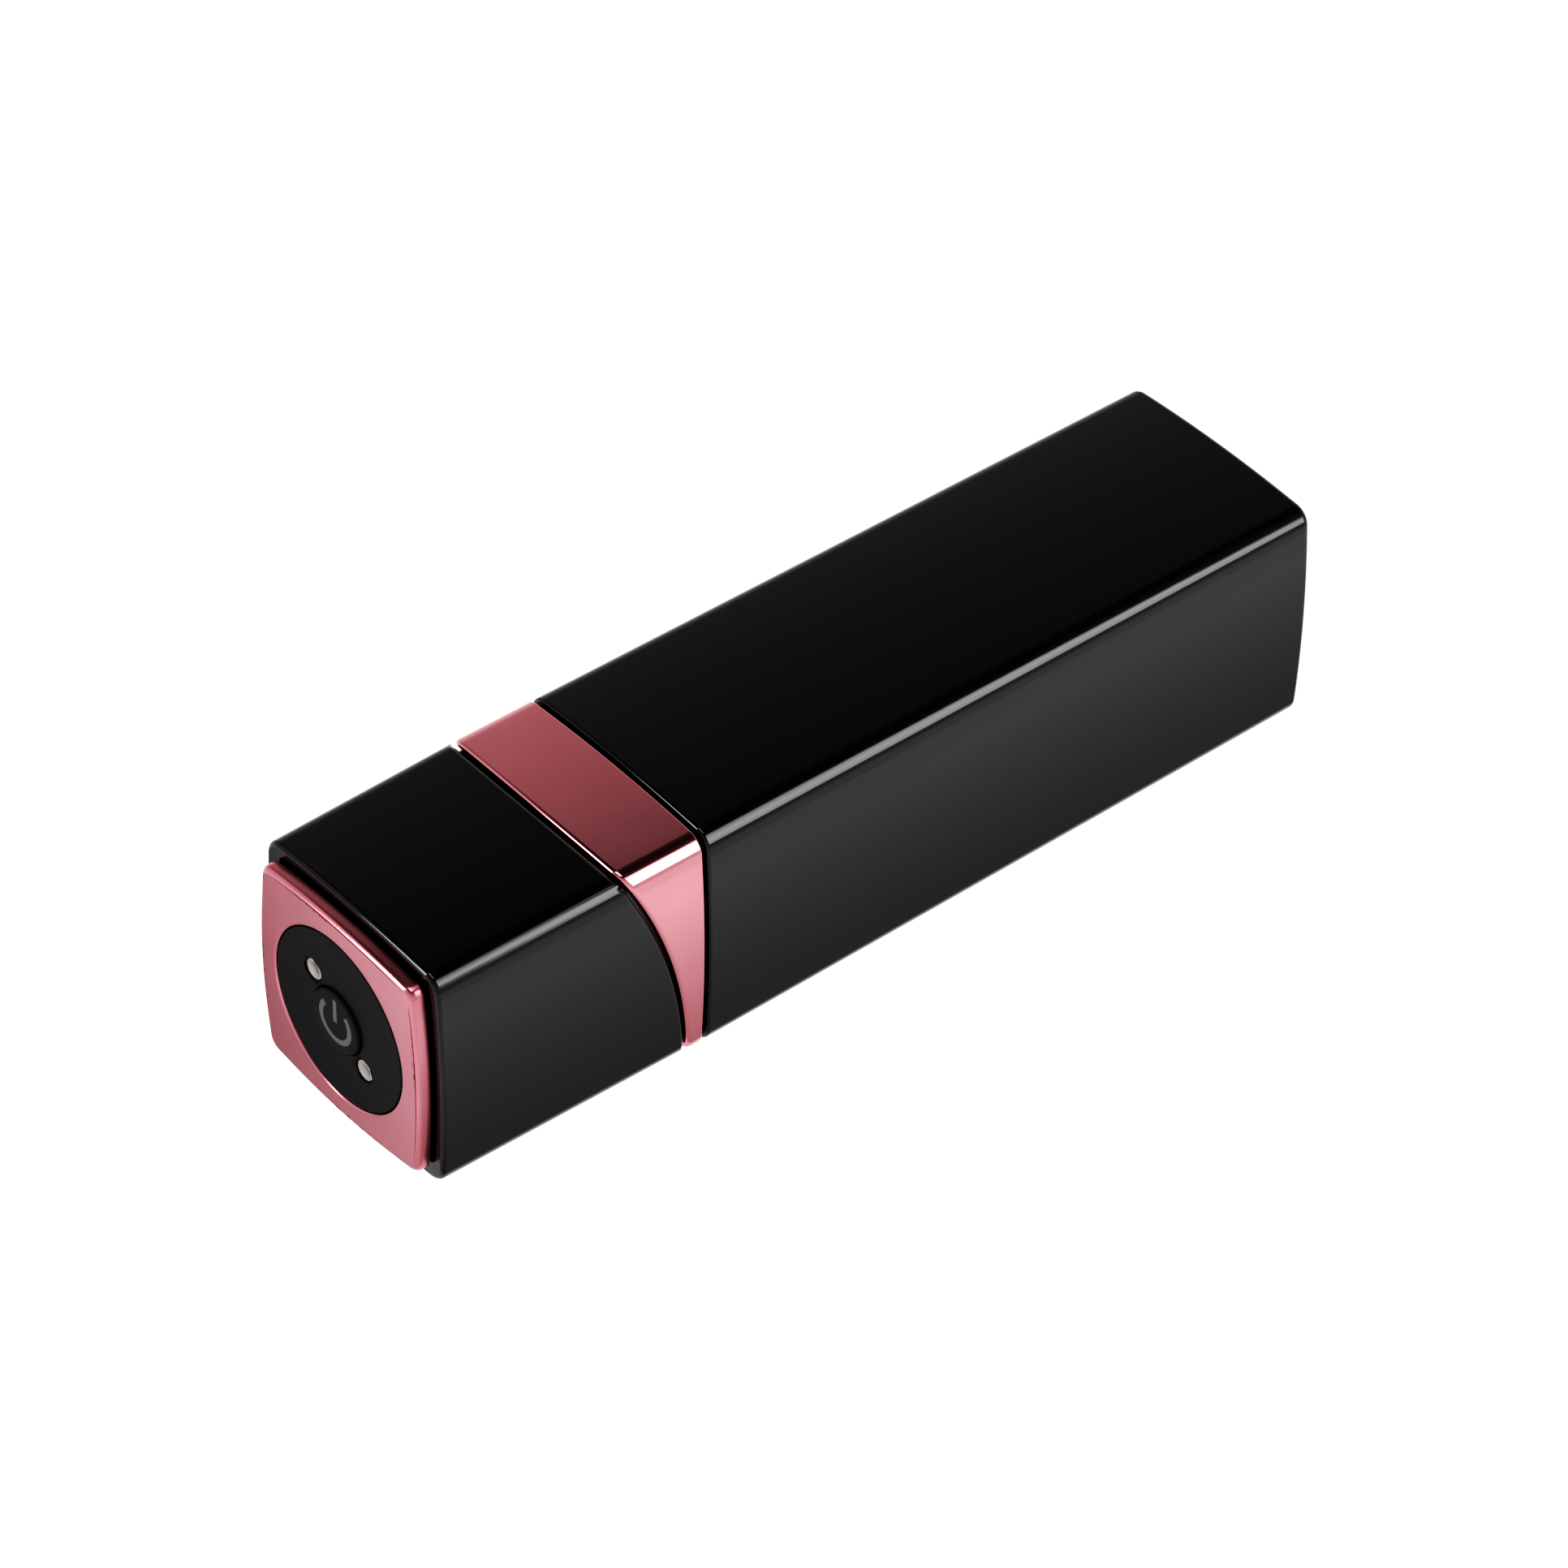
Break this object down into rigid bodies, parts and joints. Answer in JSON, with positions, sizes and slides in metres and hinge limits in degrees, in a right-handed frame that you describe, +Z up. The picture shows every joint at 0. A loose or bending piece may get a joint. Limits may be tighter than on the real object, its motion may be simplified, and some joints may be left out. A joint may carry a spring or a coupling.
{
  "type": "lipstick-style massager case",
  "caption": "Square lipstick-style case with a pull-off cap over a soft slanted vibrating head and a power button with charging contacts in its end.",
  "frame": {"origin": "on the ground under the middle of the case, which lies on one of its long sides", "axes": "+X along the case from the button end to the cap's closed end, +Z up, +Y across"},
  "size_m": [0.0884, 0.022, 0.0221],
  "materials": {
    "black_gloss": "glossy piano-black moulded plastic",
    "black_matte": "fine matt moulded plastic",
    "rose_gold": "polished rose-gold anodised",
    "rose_gold_brushed": "satin rose-gold anodised",
    "anodised_black": "satin black anodised",
    "black_rubber": "soft matt black silicone",
    "grey_print": "matt grey plastic inlay",
    "nickel": "nickel plated",
    "magnet": "nickel plated magnet",
    "screw_steel": "zinc plated",
    "circuit_board": "green solder mask",
    "switch_metal": "stamped steel",
    "white_plastic": "moulded",
    "grey_plastic": "moulded",
    "cell_steel": "nickel plated",
    "cell_wrap": "blue shrink film",
    "black_foam": "closed-cell foam",
    "black_epoxy": "moulded epoxy",
    "amber_film": "polyimide film",
    "red_wire": "insulated wire",
    "black_wire": "insulated wire",
    "bronze": "sintered bronze",
    "copper": "enamelled copper winding",
    "tungsten": "sintered tungsten alloy",
    "rose_silicone": "soft satin silicone"
  },
  "bodies": {
    "root": {"collar_band": "rose_gold", "cap_stop_ring": "black_matte", "base_shell": "black_gloss", "end_plate": "rose_gold_brushed", "inner_sleeve": "anodised_black", "neck_ring": "rose_gold", "keypad_seal": "black_rubber", "charge_contact_1": "nickel", "charge_contact_2": "nickel", "charging_magnet_1": "magnet", "charging_magnet_2": "magnet", "end_carrier": "black_matte", "carrier_screws": "screw_steel", "carrier_gasket": "black_rubber", "switch_board": "circuit_board", "switch_body": "switch_metal", "status_led": "white_plastic", "chassis_half_left": "grey_plastic", "chassis_half_right": "grey_plastic", "battery_cell": "cell_steel", "battery_wrap": "cell_wrap", "battery_pad": "black_foam", "main_board": "circuit_board", "controller_chip": "black_epoxy", "charger_chip": "black_epoxy", "power_inductor": "black_epoxy", "board_passives": "white_plastic", "ribbon_cable": "amber_film", "battery_lead_red": "red_wire", "battery_lead_black": "black_wire", "motor_lead_red": "red_wire", "motor_lead_black": "black_wire", "motor_pod": "grey_plastic", "motor_mount_sleeve": "black_rubber", "motor_can": "cell_steel", "motor_end_cap": "white_plastic", "motor_bearing_front": "bronze", "motor_bearing_rear": "bronze", "motor_magnet": "magnet", "soft_head": "rose_silicone"},
    "cap": {"cap_shell": "black_gloss", "cap_liner": "black_matte"},
    "button": {"power_button": "black_rubber", "power_symbol": "grey_print"},
    "actuator": {"switch_actuator": "white_plastic"},
    "rotor": {"motor_coil_cup": "copper", "motor_commutator": "bronze", "motor_shaft": "cell_steel", "eccentric_weight": "tungsten"}
  },
  "joints": [
    {"name": "cap_slide", "type": "slide", "parent": "root", "child": "cap", "axis": [1, 0, 0], "range_m": [0, 0.06]},
    {"name": "button_press", "type": "slide", "parent": "root", "child": "button", "axis": [1, 0, 0], "range_m": [0, 0.0003], "stiffness_N_per_m": 400, "springref_m": -0.0004},
    {"name": "actuator_press", "type": "slide", "parent": "root", "child": "actuator", "axis": [1, 0, 0], "range_m": [0, 0.0003]},
    {"name": "rotor_spin", "type": "hinge", "parent": "root", "child": "rotor", "pos_m": [0.01567, 0, 0.01105], "axis": [1, 0, 0], "continuous": true}
  ],
  "couplings": [
    {"joint": "actuator_press", "follows": "button_press", "ratio": 1}
  ]
}
